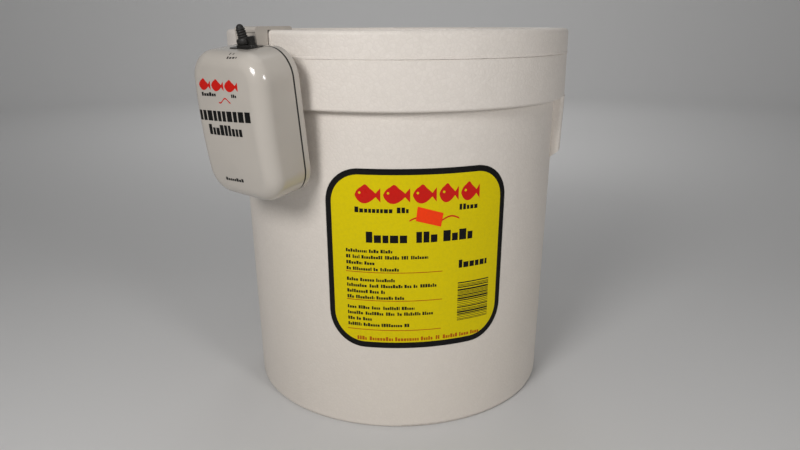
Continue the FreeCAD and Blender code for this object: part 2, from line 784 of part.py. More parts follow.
def battery_cell():
    can = cylinder(CELL_R, CELL_LENGTH, at(CELL_X, CELL_D, CELL_LOW))
    can = can.makeFillet(1.0, [e for e in can.Edges if is_round(e)])
    can_top = CELL_LOW + CELL_LENGTH
    return can.fuse(cylinder(CELL_NUB_R, CELL_NUB + 0.5, at(CELL_X, CELL_D, can_top - 0.5)))


def contact_sheet(low):
    left = CELL_X - CONTACT_HALF_W
    right = CELL_X + CONTACT_HALF_W
    return block(left, right, CASE_WALL + INNER_GAP, CELL_SHELF_FRONT - 1, low, low + CONTACT)


def contact_plate():
    return contact_sheet(contact_plate_low())


def contact_spring():
    """The cell's spring, narrowing towards it, on its own plate."""
    low = spring_plate_low()
    coils = []
    rise = (CELL_LOW - low - CONTACT - 2 * SPRING_WIRE) / (SPRING_TURNS - 1)
    for turn in range(SPRING_TURNS):
        middle = at(CELL_X, CELL_D, low + CONTACT + SPRING_WIRE * 0.9 + turn * rise)
        coils.append(Part.makeTorus(SPRING_R - turn, SPRING_WIRE, middle, Z_AXIS))
        if turn:
            link_low = middle - Vec(SPRING_R - turn + 0.5, 0, rise)
            coils.append(cylinder(SPRING_WIRE * 0.8, rise, link_low))
    return contact_sheet(low).multiFuse(coils).removeSplitter()


# ---- motor, crank and diaphragm pump -------------------------------------------------------------
def motor_axis(depth):
    return at(MOTOR_X, depth, MOTOR_U)


def motor_can():
    can = cylinder(MOTOR_R, MOTOR_LENGTH, motor_axis(MOTOR_BACK), OUTWARD)
    boss = cylinder(3.0, 1.5, motor_axis(MOTOR_BACK + MOTOR_LENGTH), OUTWARD)
    bore = cylinder(SHAFT_R + 0.05, MOTOR_LENGTH, motor_axis(MOTOR_BACK + 2), OUTWARD)
    return can.fuse(boss).cut(bore).removeSplitter()


def motor_sleeve():
    return ring(MOTOR_R, MOTOR_R + SLEEVE, SLEEVE_LENGTH, motor_axis(MOTOR_BACK), OUTWARD)


def motor_shaft():
    start = MOTOR_BACK + 2.5
    return cylinder(SHAFT_R, WORK_D + CAM_LENGTH / 2 - start, motor_axis(start), OUTWARD)


def crank_cam():
    """A brass disc bored off centre, which gives the rod its stroke."""
    start = motor_axis(WORK_D - CAM_LENGTH / 2)
    disc = cylinder(CAM_R, CAM_LENGTH, start + Vec(0, 0, CAM_THROW), OUTWARD)
    return disc.cut(cylinder(SHAFT_R, CAM_LENGTH, start, OUTWARD))


def connecting_rod():
    """A ring round the cam, and a stem up to a foot under the diaphragm."""
    near = WORK_D - ROD_THICK / 2
    hoop = ring(ROD_RING_IN, ROD_RING_OUT, ROD_THICK, motor_axis(near), OUTWARD)
    foot_top = diaphragm_boss_low()
    left = MOTOR_X - ROD_STEM_HALF_W
    right = MOTOR_X + ROD_STEM_HALF_W
    stem = block(left, right, near, near + ROD_THICK, MOTOR_U + ROD_RING_IN + 0.5, foot_top)
    foot = pump_column(ROD_FOOT_R, foot_top - ROD_FOOT, foot_top)
    return hoop.fuse(stem).fuse(foot).removeSplitter()


def pump_column(radius, low, high, offset=0.0):
    """A round bar on the diaphragm's upright axis, or beside it."""
    return cylinder(radius, high - low, at(MOTOR_X + offset, WORK_D, low))


def head_screw_points():
    points = []
    for step in range(4):
        turn = math.radians(45 + 90 * step)
        x = MOTOR_X + HEAD_SCREW_OUT * math.cos(turn)
        points.append((x, WORK_D + HEAD_SCREW_OUT * math.sin(turn)))
    return points


def with_head_holes(shape, low, high):
    for x, depth in head_screw_points():
        shape = shape.cut(cylinder(HEAD_SCREW_R, high - low + 2, at(x, depth, low - 1)))
    return shape


def pump_frame():
    """One moulding: base plate, motor cup and the ring that clamps the diaphragm."""
    near = CASE_WALL + INNER_GAP
    far = near + FRAME_PLATE
    cup_in = MOTOR_R + SLEEVE
    clamp_top = CLAMP_U + CLAMP_HIGH
    shape = block(FRAME_LEFT, FRAME_RIGHT, near, far, FRAME_LOW, FRAME_HIGH)
    shape = shape.fuse(ring(cup_in, cup_in + FRAME_WALL, SLEEVE_LENGTH - 0.4, motor_axis(far), OUTWARD))
    web = block(MOTOR_X - 6, MOTOR_X + 6, near, WORK_D - CHAMBER_R + 0.5, CLAMP_U, clamp_top)
    shape = shape.fuse(web).fuse(pump_column(HEAD_R, CLAMP_U, clamp_top))
    shape = shape.cut(pump_column(CHAMBER_R, CLAMP_U, clamp_top))
    for x, up in FRAME_SCREWS:
        shape = shape.cut(cylinder(FRAME_SCREW_R, FRAME_PLATE, at(x, near, up), OUTWARD))
    return with_head_holes(shape, CLAMP_U, clamp_top).removeSplitter()


def frame_screws():
    screws = []
    for x, up in FRAME_SCREWS:
        head_at = at(x, CASE_WALL + INNER_GAP + FRAME_PLATE, up)
        head = cylinder(FRAME_SCREW_HEAD_R, FRAME_SCREW_HEAD, head_at, OUTWARD)
        shank = cylinder(FRAME_SCREW_R, FRAME_PLATE + 1.0, head_at, Y_AXIS)
        screws.append(head.fuse(shank).removeSplitter())
    return Part.makeCompound(screws)


def diaphragm_low():
    return CLAMP_U + CLAMP_HIGH


def diaphragm_boss_low():
    return CLAMP_U + 0.7


def diaphragm():
    low = diaphragm_low()
    disc = pump_column(HEAD_R, low, low + DIAPHRAGM)
    boss = pump_column(3.0, diaphragm_boss_low(), low)
    return with_head_holes(disc.fuse(boss), low, low + DIAPHRAGM).removeSplitter()


def head_low():
    return diaphragm_low() + DIAPHRAGM


def cover_low():
    return head_low() + HEAD_HIGH


def cover_top():
    return cover_low() + COVER_HIGH


def pump_head():
    """The chamber over the diaphragm, with an inlet and an outlet port."""
    low = head_low()
    high = cover_low()
    shape = pump_column(HEAD_R, low, high).cut(pump_column(CHAMBER_R, low, low + CHAMBER))
    for offset in (-PORT_X, PORT_X):
        shape = shape.cut(pump_column(PORT_R, low, high, offset))
        shape = shape.cut(pump_column(FLAP_POCKET_R, high - FLAP_POCKET, high, offset))
    return with_head_holes(shape, low, high)


def valve_flaps():
    low = cover_low() - FLAP_POCKET
    flaps = [pump_column(FLAP_R, low, low + FLAP, offset) for offset in (-PORT_X, PORT_X)]
    return Part.makeCompound(flaps)


def valve_cover():
    """The head's lid, with a vent hole over the inlet and a nipple over the outlet."""
    low = cover_low()
    high = cover_top()
    nipple_top = high + NIPPLE_HIGH
    shape = pump_column(HEAD_R, low, high).fuse(pump_column(TUBE_R, low, nipple_top, -PORT_X))
    shape = shape.cut(pump_column(TUBE_BORE_R, low, nipple_top, -PORT_X))
    shape = shape.cut(pump_column(PORT_R, low, high, PORT_X))
    return with_head_holes(shape, low, high).removeSplitter()


def head_screws():
    high = cover_top()
    screws = []
    for x, depth in head_screw_points():
        head = cylinder(HEAD_SCREW_HEAD_R, HEAD_SCREW_HEAD, at(x, depth, high))
        shank = cylinder(HEAD_SCREW_R, high - CLAMP_U, at(x, depth, CLAMP_U))
        screws.append(head.fuse(shank).removeSplitter())
    return Part.makeCompound(screws)


def air_hose():
    """The soft tube from the pump head's nipple to the outlet's stub."""
    x = MOTOR_X - PORT_X
    points = [
        at(x, WORK_D, cover_top() + 0.5),
        at(x, WORK_D, cover_top() + NIPPLE_HIGH + 2.0),
        at(OUTLET_X, SWITCH_D, STUB_LOW - 2.5),
        at(OUTLET_X, SWITCH_D, STUB_LOW + 6.0),
    ]
    return swept(points, [HOSE_BEND, HOSE_BEND], TUBE_R + HOSE_WALL, TUBE_R + 0.03)


# ---- leads ---------------------------------------------------------------------------------------
def lug_low():
    return SWITCH_BOX_LOW - LUG_LENGTH


def motor_lead_depth():
    """A lead's depth where it lies on the motor's front."""
    return MOTOR_BACK + MOTOR_LENGTH + LEAD_R


def lead_positive():
    """From the upper contact plate to the switch's left lug."""
    plate_low = contact_plate_low()
    x = SWITCH_X - LUG_PITCH - LUG_HALF_W - LEAD_R
    plate_x = CELL_X + CONTACT_HALF_W - 1
    points = [
        at(plate_x, CELL_SHELF_FRONT + 1, plate_low + LEAD_R + INNER_GAP),
        at(plate_x, CELL_SHELF_FRONT + 3.5, plate_low + 4.0),
        at(x, SWITCH_D, lug_low() - 2.5),
        at(x, SWITCH_D, lug_low() + 3.0),
    ]
    return swept(points, [1.4, 2.0], LEAD_R)


def lead_switch():
    """From the switch's middle lug down between cell and pump head to the motor."""
    near = SWITCH_D - 1 - LEAD_R
    motor_x = MOTOR_X - 8
    depth = motor_lead_depth()
    points = [
        at(SWITCH_X, near, lug_low() + 3.0),
        at(SWITCH_X, near, lug_low() - 3.0),
        at(4.2, 6.0, 20.0),
        at(4.2, 6.0, 5.5),
        at(motor_x, depth, MOTOR_U + 17.0),
        at(motor_x, depth, MOTOR_U + 5.0),
    ]
    return swept(points, [2.5, 4.0, 3.0, 3.0], LEAD_R)


def lead_negative():
    """From the spring's plate along the case's floor to the motor's other side."""
    low = spring_plate_low() + CONTACT + LEAD_R
    motor_x = MOTOR_X + 8
    depth = motor_lead_depth()
    plate_depth = CELL_SHELF_FRONT - 3
    points = [
        at(CELL_X + CONTACT_HALF_W - 2.5, plate_depth, low),
        at(FRAME_LEFT + 1, plate_depth, low),
        at(MOTOR_X + 6, plate_depth - 1, MOTOR_U - 19.0),
        at(motor_x, depth, MOTOR_U - 10.0),
        at(motor_x, depth, MOTOR_U - 4.0),
    ]
    return swept(points, [4.0, 4.0, 2.0], LEAD_R)


# ---- assembly ------------------------------------------------------------------------------------
def hung(shape):
    """Carry a shape from the pump's own frame to where the pump hangs."""
    turn = math.radians(PUMP_TURN)
    place = Vec(-PUMP_OUT * math.sin(turn), -PUMP_OUT * math.cos(turn), PUMP_Z)
    swing = FreeCAD.Rotation(Z_AXIS, -PUMP_TURN)
    swing = swing.multiply(FreeCAD.Rotation(X_AXIS, PUMP_LEAN))
    swing = swing.multiply(FreeCAD.Rotation(Y_AXIS, PUMP_ROLL))
    moved = shape.copy()
    moved.transformShape(FreeCAD.Placement(place, swing).toMatrix(), False)
    return moved


BUCKET_PIECES = {
    "bucket_body": bucket_body,
    "lid": lid,
    "label": label,
    "bail_wire": bail_wire,
    "bail_grip": bail_grip,
    "air_stone_body": air_stone_body,
    "air_stone_nipple": air_stone_nipple,
    "hanger_hook": hanger_hook,
}

PUMP_PIECES = {
    "front_shell": front_shell,
    "back_shell": back_shell,
    "case_gasket": case_gasket,
    "hook_screws": hook_screws,
    "switch_panel": switch_panel,
    "switch_body": switch_body,
    "switch_nut": switch_nut,
    "toggle_lever": toggle_lever,
    "toggle_boot": toggle_boot,
    "outlet_nipple": outlet_nipple,
    "battery_cell": battery_cell,
    "contact_plate": contact_plate,
    "contact_spring": contact_spring,
    "motor_can": motor_can,
    "motor_sleeve": motor_sleeve,
    "motor_shaft": motor_shaft,
    "crank_cam": crank_cam,
    "connecting_rod": connecting_rod,
    "pump_frame": pump_frame,
    "frame_screws": frame_screws,
    "diaphragm": diaphragm,
    "pump_head": pump_head,
    "valve_flaps": valve_flaps,
    "valve_cover": valve_cover,
    "head_screws": head_screws,
    "air_hose": air_hose,
    "lead_positive": lead_positive,
    "lead_switch": lead_switch,
    "lead_negative": lead_negative,
}


def write(name, shape):
    print(name, len(shape.Solids), "solids, valid", shape.isValid(), "volume", round(shape.Volume))
    shape.exportStep(f"parts/{name}.step")


def main():
    os.makedirs("parts", exist_ok=True)
    for name, make in BUCKET_PIECES.items():
        write(name, make())
    for name, side in (("bushing_right", 1), ("bushing_left", -1)):
        write(name, bushing(side))
    for name, make in PUMP_PIECES.items():
        write(name, hung(make()))


main()
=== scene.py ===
"""The looks of an aerated bait bucket: foam bucket and lid, hung air pump, bail and air stone.

Metres, in the CAD's own frame. The label is drawn in millimetres round the wall: "across" is the
arc from the front towards +X, and "up" is the height. The pump is drawn in its own frame: x to
the right, depth out from its flat back, and up along its leaning back.
"""
import json
import math
import random

import bmesh
import bpy
from mathutils import Euler, Matrix, Vector, noise
from mathutils.bvhtree import BVHTree


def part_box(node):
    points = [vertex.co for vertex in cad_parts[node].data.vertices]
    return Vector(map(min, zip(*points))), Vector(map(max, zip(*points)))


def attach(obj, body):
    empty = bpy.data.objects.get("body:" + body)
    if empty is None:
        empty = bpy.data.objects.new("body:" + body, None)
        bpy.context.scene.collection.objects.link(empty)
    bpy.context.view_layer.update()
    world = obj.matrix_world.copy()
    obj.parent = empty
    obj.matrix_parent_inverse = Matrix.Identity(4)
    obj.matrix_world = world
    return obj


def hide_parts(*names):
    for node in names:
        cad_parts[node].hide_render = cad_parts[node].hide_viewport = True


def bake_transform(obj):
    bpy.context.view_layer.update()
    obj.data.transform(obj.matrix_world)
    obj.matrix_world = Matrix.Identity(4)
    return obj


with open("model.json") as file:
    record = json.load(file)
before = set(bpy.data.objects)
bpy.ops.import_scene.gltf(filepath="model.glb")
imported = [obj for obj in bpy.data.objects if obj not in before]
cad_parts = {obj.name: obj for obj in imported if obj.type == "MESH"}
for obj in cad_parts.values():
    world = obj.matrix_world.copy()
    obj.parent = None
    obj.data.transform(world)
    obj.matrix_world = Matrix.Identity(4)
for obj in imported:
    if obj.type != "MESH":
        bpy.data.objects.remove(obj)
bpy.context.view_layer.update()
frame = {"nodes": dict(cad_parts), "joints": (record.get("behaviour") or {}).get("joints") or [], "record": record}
nodes = frame["nodes"]
MM = 0.001

# ---- what the looks take from the CAD ---------------------------------------------------------
BASE_R = 129.0
NECK_R = 133.5
COLLAR_Z = 250.0
LABEL_R = 131.5
SWITCH_X = 1.3
SWITCH_DEPTH = 13.5
PANEL_TOP = 53.0
PIVOT_UP = 51.0
CELL_X = -14.5
CELL_DEPTH = 18.2
CELL_LOW = -37.5
CELL_LENGTH = 59.5
CELL_R = 16.4

# ---- label, in millimetres across and up -------------------------------------------------------
LABEL_LEFT = -54.0
LABEL_RIGHT = 84.7
LABEL_LOW = 70.6
LABEL_HIGH = 210.1
LABEL_CORNER = 26.0
LABEL_LOW_CORNER = 28.0
BORDER = 4.4
# How far each print's inner and outer skin stand off the wall.
PAPER = (0.02, 0.25)
FIELD_INK = (0.15, 0.28)
INK = (0.20, 0.31)
EYE_INK = (0.25, 0.34)
STICKER_PAPER = (0.24, 0.45)

joints = {j["name"]: j for j in frame["joints"]}


# ---- shader graphs ------------------------------------------------------------------------------
class Finish:
    """A material's node graph. Even values sit on the shader's own sockets."""

    def __init__(self, name, colour, roughness, **even):
        self.material = bpy.data.materials.new(name)
        self.material.use_nodes = True
        self.tree = self.material.node_tree
        self.shader = self.tree.nodes["Principled BSDF"]
        self.shader.inputs["Base Color"].default_value = (*colour, 1)
        self.shader.inputs["Roughness"].default_value = roughness
        for socket, value in even.items():
            self.shader.inputs[socket.replace("_", " ")].default_value = value
        self.here = self.tree.nodes.new("ShaderNodeTexCoord").outputs["Object"]

    def node(self, kind, links, **settings):
        made = self.tree.nodes.new(kind)
        for key, value in settings.items():
            setattr(made, key, value)
        for key, value in links.items():
            self.feed(made.inputs[key], value)
        return made

    def feed(self, socket, value):
        if isinstance(value, bpy.types.NodeSocket):
            self.tree.links.new(value, socket)
        else:
            socket.default_value = value

    def stretched(self, scale, turn=(0, 0, 0)):
        links = {"Vector": self.here, "Scale": scale, "Rotation": turn}
        return self.node("ShaderNodeMapping", links).outputs["Vector"]

    def noise(self, scale, detail=2.0, where=None):
        links = {"Vector": where or self.here, "Scale": scale, "Detail": detail}
        return self.node("ShaderNodeTexNoise", links).outputs["Fac"]

    def cells(self, scale, feature="F1", where=None):
        links = {"Vector": where or self.here, "Scale": scale}
        return self.node("ShaderNodeTexVoronoi", links, feature=feature)

    def remap(self, value, low, high, to_low, to_high):
        links = {"Value": value, 1: low, 2: high, 3: to_low, 4: to_high}
        return self.node("ShaderNodeMapRange", links, clamp=True).outputs["Result"]

    def blend(self, amount, first, second):
        links = {0: amount, 6: self.opaque(first), 7: self.opaque(second)}
        return self.node("ShaderNodeMix", links, data_type="RGBA").outputs[2]

    def opaque(self, colour):
        return colour if isinstance(colour, bpy.types.NodeSocket) else (*colour, 1)

    def sum(self, first, second, how="ADD"):
        return self.node("ShaderNodeMath", {0: first, 1: second}, operation=how).outputs[0]

    def bump(self, height, distance, over=None):
        links = {"Height": height, "Distance": distance, "Strength": 1.0}
        if over:
            links["Normal"] = over
        return self.node("ShaderNodeBump", links).outputs["Normal"]

    def end(self, colour=None, roughness=None, normal=None):
        for socket, value in (("Base Color", colour), ("Roughness", roughness), ("Normal", normal)):
            if value is not None:
                self.feed(self.shader.inputs[socket], value)
        return self.material


def foam():
    """Fused foam beads: flattened cells about 3 mm across with faint creases between them."""
    f = Finish("foam_beads", (0.80, 0.745, 0.69), 0.5, Specular_IOR_Level=0.38)
    wobble = f.node("ShaderNodeTexNoise", {"Vector": f.here, "Scale": 160.0}).outputs["Color"]
    shift = f.node("ShaderNodeVectorMath", {0: wobble, 3: 0.0022}, operation="SCALE").outputs[0]
    moved = f.node("ShaderNodeVectorMath", {0: f.here, 1: shift}).outputs[0]
    creases = f.cells(330, "DISTANCE_TO_EDGE", moved).outputs["Distance"]
    bead = f.cells(330, "F1", moved).outputs
    tint = f.node("ShaderNodeSeparateColor", {"Color": bead["Color"]}).outputs
    dome = f.sum(f.remap(creases, 0.0, 0.3, 0.0, 1.0), f.sum(tint[0], 0.35, "MULTIPLY"))
    normal = f.bump(dome, 0.00007, f.bump(f.noise(16, 3), 0.0016))
    cell_colour = f.blend(tint[1], (0.815, 0.762, 0.708), (0.785, 0.732, 0.678))
    # Painted shade: the creases between beads are darkened in the colour, where shade would fall in them.
    painted_crease_shade = f.remap(creases, 0.0, 0.12, 0.16, 0.0)
    crease_shaded_colour = f.blend(painted_crease_shade, cell_colour, (0.60, 0.55, 0.50))
    height = f.node("ShaderNodeSeparateXYZ", {"Vector": f.here}).outputs["Z"]
    # Painted shade: the foam grows darker from 262 mm down to 80 mm, standing in for the shade under the collar.
    painted_shade_below_collar = f.remap(height, 0.08, 0.262, 0.5, 0.0)
    # Random dirt patches, added to the painted shade below the collar; both blend towards the same darker foam
    # colour.
    grime_and_painted_shade = f.sum(f.remap(f.noise(8, 4), 0.55, 0.85, 0.0, 0.22), painted_shade_below_collar)
    colour = f.blend(grime_and_painted_shade, crease_shaded_colour, (0.72, 0.66, 0.59))
    rough = f.remap(f.noise(45, 3), 0.3, 0.7, 0.42, 0.56)
    return f.end(colour, rough, normal)


def moulded(name, colour, rough, grain=900, depth=0.00002, vary=0.08, **even):
    """Moulded plastic: a slight ripple and an uneven polish."""
    f = Finish(name, colour, rough, **even)
    ripple = f.bump(f.noise(25, 2), 0.0002)
    normal = f.bump(f.noise(grain, 3), depth, ripple)
    shade = tuple(c * 0.9 for c in colour)
    uneven = f.blend(f.remap(f.noise(18, 3), 0.35, 0.75, 0.0, 1.0), colour, shade)
    rough_map = f.remap(f.noise(60, 4), 0.3, 0.7, rough - vary, rough + vary)
    return f.end(uneven, rough_map, normal)


def rubber(name, colour, rough=0.55):
    """Rubber with a fine grain and a little dust on it."""
    f = Finish(name, colour, rough, Specular_IOR_Level=0.45)
    dust = f.remap(f.noise(220, 4), 0.5, 0.8, 0.0, 0.5)
    dusty = f.blend(dust, colour, tuple(c + 0.03 for c in colour))
    normal = f.bump(f.noise(2600, 3), 0.00004)
    return f.end(dusty, f.remap(f.noise(300, 2), 0.3, 0.7, rough - 0.12, rough + 0.1), normal)


def metal(name, colour, rough, stretch=(1, 1, 1), grain=1500, turn=(0, 0, 0)):
    """Bare or plated metal, drawn or brushed along its long direction."""
    f = Finish(name, colour, rough, Metallic=1.0)
    lines = f.noise(grain, 3, f.stretched(stretch, turn))
    tarnish = f.remap(f.noise(120, 4), 0.45, 0.75, 0.0, 0.6)
    shade = f.blend(tarnish, colour, tuple(c * 0.72 for c in colour))
    normal = f.bump(lines, 0.00002)
    return f.end(shade, f.remap(lines, 0.3, 0.7, rough - 0.08, rough + 0.12), normal)


def clear(name, colour, rough, through):
    """Plastic that lets the given share of the light through."""
    f = Finish(name, colour, rough, Transmission_Weight=through, IOR=1.46)
    normal = f.bump(f.noise(700, 2), 0.00003)
    return f.end(None, f.remap(f.noise(200, 3), 0.3, 0.7, rough, rough + 0.12), normal)


def stone():
    """Fused mineral grains in two shades."""
    f = Finish("porous_grains", (0.30, 0.34, 0.38), 0.9, Specular_IOR_Level=0.3)
    grain = f.cells(900).outputs
    tone = f.node("ShaderNodeSeparateColor", {"Color": grain["Color"]}).outputs[0]
    colour = f.blend(tone, (0.16, 0.22, 0.30), (0.44, 0.48, 0.52))
    # Painted shade: small near-black spots stand for the shade inside the stone's pits.
    painted_pit_shade = f.remap(f.noise(1400, 3), 0.35, 0.5, 0.7, 0.0)
    colour = f.blend(painted_pit_shade, colour, (0.07, 0.09, 0.12))
    normal = f.bump(f.sum(grain["Distance"], 0.6, "MULTIPLY"), 0.0004)
    return f.end(colour, None, normal)


def print_ink(name, colour, rough=0.32):
    """Ink on coated paper: an even gloss broken by a faint mottle."""
    f = Finish(name, colour, rough, Specular_IOR_Level=0.12)
    mottle = f.remap(f.noise(500, 3), 0.4, 0.7, 0.0, 0.5)
    worn = f.blend(mottle, colour, tuple(c * 0.88 + 0.005 for c in colour))
    normal = f.bump(f.noise(35, 2), 0.0004)
    return f.end(worn, f.remap(f.noise(90, 3), 0.3, 0.7, rough - 0.05, rough + 0.1), normal)


WHITE_CASE = moulded("case_gloss", (0.56, 0.52, 0.47), 0.18, vary=0.05, Coat_Weight=0.3)
BLACK_RUBBER = rubber("black_rubber", (0.014, 0.013, 0.012))
BLACK_PLASTIC = moulded("black_plastic", (0.016, 0.015, 0.014), 0.28)
PLATED = metal("nickel_plate", (0.66, 0.64, 0.60), 0.24, (1, 1, 0.1))
BLACK_INK = print_ink("black_ink", (0.006, 0.006, 0.006), 0.4)
YELLOW_INK = print_ink("yellow_ink", (0.75, 0.61, 0.0008), 0.42)
RED_INK = print_ink("red_ink", (0.62, 0.013, 0.008))
RUST_INK = print_ink("rust_ink", (0.46, 0.115, 0.003))
FLUORESCENT = print_ink("orange_sticker", (1.0, 0.055, 0.006), 0.55)
CELL_BLUE = print_ink("cell_blue", (0.03, 0.07, 0.16))
CELL_SILVER = metal("cell_silver", (0.60, 0.60, 0.62), 0.3)

SLOT_FINISH = {
    "foam": foam(),
    "white_plastic": moulded("white_bushing", (0.72, 0.71, 0.68), 0.4),
    "steel_wire": metal("galvanised_wire", (0.55, 0.56, 0.57), 0.34, (0.15, 1, 1)),
    "clear_plastic": clear("clear_nipple", (0.72, 0.80, 0.84), 0.12, 0.75),
    "case_plastic": WHITE_CASE,
    "black_rubber": BLACK_RUBBER,
    "plated_steel": PLATED,
    "black_plastic": BLACK_PLASTIC,
    "motor_steel": metal("motor_zinc", (0.50, 0.50, 0.50), 0.32, (1, 0.1, 1)),
    "brass": metal("turned_brass", (0.72, 0.52, 0.22), 0.26),
    "frame_plastic": moulded("grey_frame", (0.30, 0.31, 0.32), 0.45),
    "head_plastic": moulded("natural_nylon", (0.62, 0.58, 0.48), 0.42),
    "hose": clear("silicone_hose", (0.80, 0.80, 0.76), 0.3, 0.35),
    "red_insulation": rubber("red_lead", (0.42, 0.012, 0.010), 0.42),
    "black_insulation": rubber("black_lead", (0.015, 0.015, 0.016), 0.42),
}


def dress_cad_nodes():
    for row in frame["record"]["subparts"]:
        finish = SLOT_FINISH.get(row["material_slot"])
        if finish:
            data = nodes[row["node"]].data
            data.materials.clear()
            data.materials.append(finish)


# ---- building pieces ----------------------------------------------------------------------------
def make_piece(name, bm, materials, body, sharp=35):
    """An object from a finished bmesh, shaded smooth but for its sharp edges."""
    bmesh.ops.remove_doubles(bm, verts=bm.verts, dist=1e-7)
    bmesh.ops.recalc_face_normals(bm, faces=bm.faces)
    mesh = bpy.data.meshes.new(name)
    bm.to_mesh(mesh)
    bm.free()
    mesh.shade_smooth()
    mesh.set_sharp_from_angle(angle=math.radians(sharp))
    for material in materials:
        mesh.materials.append(material)
    piece = bpy.data.objects.new(name, mesh)
    bpy.context.scene.collection.objects.link(piece)
    if body:
        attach(piece, body)
    return piece


def lathe(bm, outline, place, steps=64):
    """Turns (radius, height, material) points about an axis; place(radius, turn, height) gives
    each point. A radius of nought closes an end."""
    rings = []
    for radius, height, _ in outline:
        count = steps if radius > 0 else 1
        turns = [2 * math.pi * k / steps for k in range(count)]
        rings.append([bm.verts.new(place(radius, turn, height)) for turn in turns])
    for (lower, upper), (_, _, material) in zip(zip(rings, rings[1:]), outline):
        for k in range(steps):
            corners = []
            for ring, index in ((lower, k), (lower, k + 1), (upper, k + 1), (upper, k)):
                vertex = ring[index % len(ring)]
                if vertex not in corners:
                    corners.append(vertex)
            face = bm.faces.new(corners)
            face.material_index = material


def add_sheet(bm, columns, place, skins, material=0):
    """A closed thin sheet from (across, low, high) columns, between two skins off a surface."""
    rails = []
    for across, low, high in columns:
        rails.append([
            bm.verts.new(place(across, up, skin)) for skin, up in
            ((skins[0], low), (skins[0], high), (skins[1], high), (skins[1], low))
        ])
    faces = [bm.faces.new(rails[0]), bm.faces.new(rails[-1])]
    for here, there in zip(rails, rails[1:]):
        for k in range(4):
            n = (k + 1) % 4
            faces.append(bm.faces.new((here[k], here[n], there[n], there[k])))
    for face in faces:
        face.material_index = material


def sampled(left, right, step):
    count = max(1, round((right - left) / step))
    return [left + (right - left) * k / count for k in range(count + 1)]


def rounded_columns(left, right, low, high, corner, low_corner=None, step=2.0):
    """Columns of a rectangle with rounded corners."""
    low_corner = corner if low_corner is None else low_corner
    widest = max(corner, low_corner)
    bends = [widest * (1 - math.cos(math.radians(7.5 * k))) for k in range(13)]
    spots = [left + b for b in bends] + [right - b for b in bends]
    spots += sampled(left + widest, right - widest, step)

    def bite(spot, radius):
        inward = max(0.0, radius - min(spot - left, right - spot))
        return radius - math.sqrt(max(0.0, radius * radius - inward * inward))

    columns = []
    for spot in sorted(set(round(s, 4) for s in spots)):
        bottom = low + bite(spot, low_corner)
        top = high - bite(spot, corner)
        columns.append((spot, bottom, max(top, bottom + 0.01)))
    return columns


def disc_columns(across, up, radius):
    columns = []
    for k in range(13):
        turn = math.radians(15 * k)
        half = max(radius * math.sin(turn), 0.01)
        columns.append((across - radius * math.cos(turn), up - half, up + half))
    return columns


def fish_columns(left, right, up, tall, heading=-1):
    """A plain minnow: a tapered body and a flared tail. heading -1 swims to the left."""
    columns = []
    for k in range(41):
        t = k / 40
        body = 0.5 * tall * math.sin(math.pi * min(t / 0.86, 1.0) ** 0.8) ** 0.8
        tail = 0.42 * tall * max(0.0, (t - 0.78) / 0.22) ** 0.8
        half = max(body, tail, 0.045 * tall)
        fin = 0.13 * tall * math.cos(math.pi / 2 * min(1.0, abs(t - 0.42) / 0.2)) ** 2
        spot = t if heading < 0 else 1 - t
        columns.append((left + (right - left) * spot, up - half, up + half + fin))
    return sorted(columns)


def word_blocks(left, right, low, high, rng, letter, gap, short=0.7):
    """A run of plain blocks of uneven width, where a word stands. Some reach only the short share."""
    columns = []
    spot = left
    while spot < right - 0.4 * letter:
        width = min(letter * rng.uniform(0.75, 1.25), right - spot)
        top = high if not columns or rng.random() < 0.3 else low + (high - low) * short
        columns.append([(x, low, top) for x in sampled(spot, spot + width, 1.2)])
        spot += width + gap
    return columns


def text_line(left, right, low, high, rng, letter, gap):
    """Words of blocks from left to right, with word spaces."""
    runs = []
    spot = left
    while spot < right - 2 * letter:
        length = min(rng.randint(2, 9) * (letter + gap), right - spot)
        if right - spot - length < 2 * letter:
            length = right - spot
        runs += word_blocks(spot, spot + length, low, high, rng, letter, gap)
        spot += length + 1.1 * letter
    return runs


# ---- label ---------------------------------------------------------------------------------------
def on_wall(across, up, skin):
    turn = across / LABEL_R
    radius = BASE_R + (NECK_R - BASE_R) * up / COLLAR_Z + skin
    return Vector((radius * math.sin(turn), -radius * math.cos(turn), up)) * MM


def wall_sheet(name, column_sets, skins, ink):
    bm = bmesh.new()
    for columns in column_sets:
        add_sheet(bm, columns, on_wall, skins)
    return make_piece(name, bm, [ink], "bucket", 60)


PARAGRAPHS = (
    (150.0, (-3.6, 21.9, -17.0, 0.4)),
    (127.4, (-2.0, 28.8, -10.0, 4.5)),
    (105.0, (12.0, 30.0, -20.0, 8.2)),
)
TEXT_LEFT = -39.0
LINE_PITCH = 4.7
LETTER_HIGH = 2.7
RULES = ((132.0, 33.0), (109.5, 33.0), (85.4, 32.5))
RULE_HALF = 0.3
FISH_SPOTS = ((-31.0, -12.5), (-10.5, 8.5), (10.5, 27.5), (29.5, 44.0), (46.0, 61.0))
FISH_UP = 191.0
FISH_TALL = 12.5
EYE_R = 0.9


def label_words(rng):
    runs = text_line(-31.5, 7.7, 177.9, 182.1, rng, 2.4, 0.7)
    runs += word_blocks(45.0, 60.0, 178.2, 182.6, rng, 2.6, 0.8)
    for left, right in ((-23.6, 7.5), (13.0, 28.5), (33.0, 57.0)):
        runs += word_blocks(left, right, 155.2, 163.6, rng, 4.8, 1.1)
    for top, ends in PARAGRAPHS:
        for row, end in enumerate(ends):
            high = top - row * LINE_PITCH
            runs += text_line(TEXT_LEFT, end, high - LETTER_HIGH, high, rng, 1.35, 0.42)
    runs += word_blocks(45.7, 70.0, 133.0, 139.3, rng, 3.6, 0.9)
    return runs


